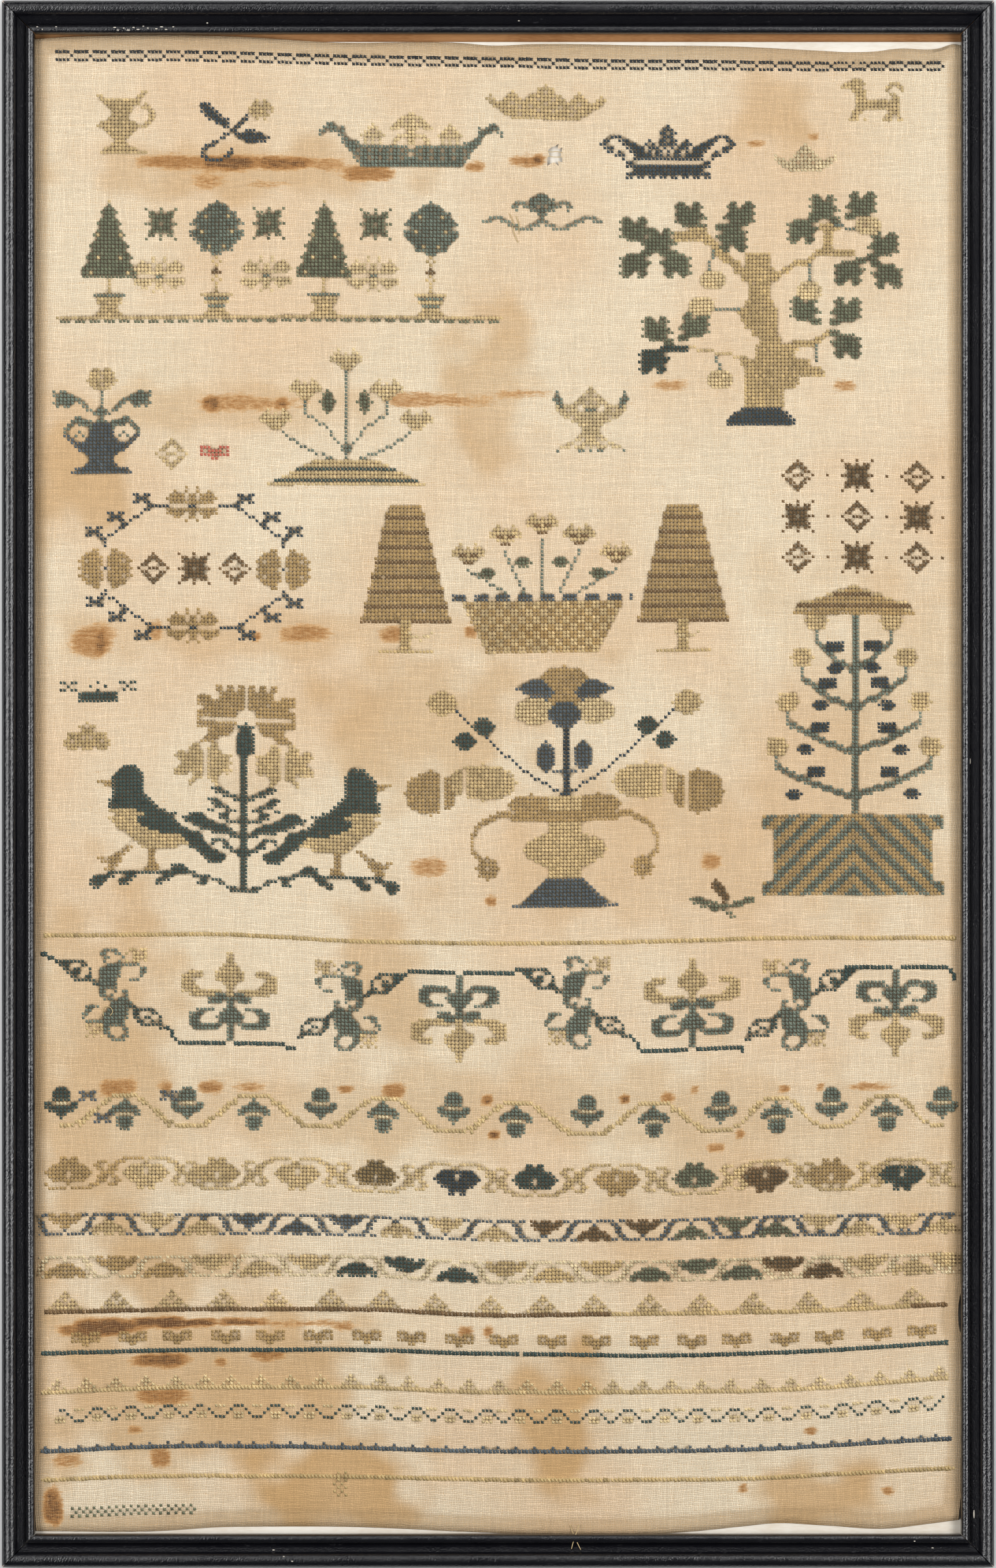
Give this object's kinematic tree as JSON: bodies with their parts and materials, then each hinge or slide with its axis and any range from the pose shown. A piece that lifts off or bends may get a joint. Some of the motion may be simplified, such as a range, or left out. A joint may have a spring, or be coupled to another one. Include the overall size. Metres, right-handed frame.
{
  "type": "framed cross stitch sampler",
  "caption": "Embroidered linen sampler laid on a white board in a narrow black wooden frame. It lies on its flat back with its face up, to be set down or hung.",
  "frame": {"origin": "middle of the frame's back, on the surface that it lies on", "axes": "+X to the right across the face, +Y to the sampler's top, +Z out of the face"},
  "size_m": [0.37, 0.584, 0.018],
  "materials": {
    "black_wood": "black painted wood, satin, worn at the edges",
    "brown_board": "matte brown board",
    "white_card": "matte off-white card",
    "linen": "unbleached plain weave linen, aged and stained"
  },
  "bodies": {
    "root": {"frame_top": "black_wood", "frame_bottom": "black_wood", "frame_left": "black_wood", "frame_right": "black_wood", "back_board": "brown_board", "mount_board": "white_card", "sampler_cloth": "linen"}
  },
  "joints": []
}
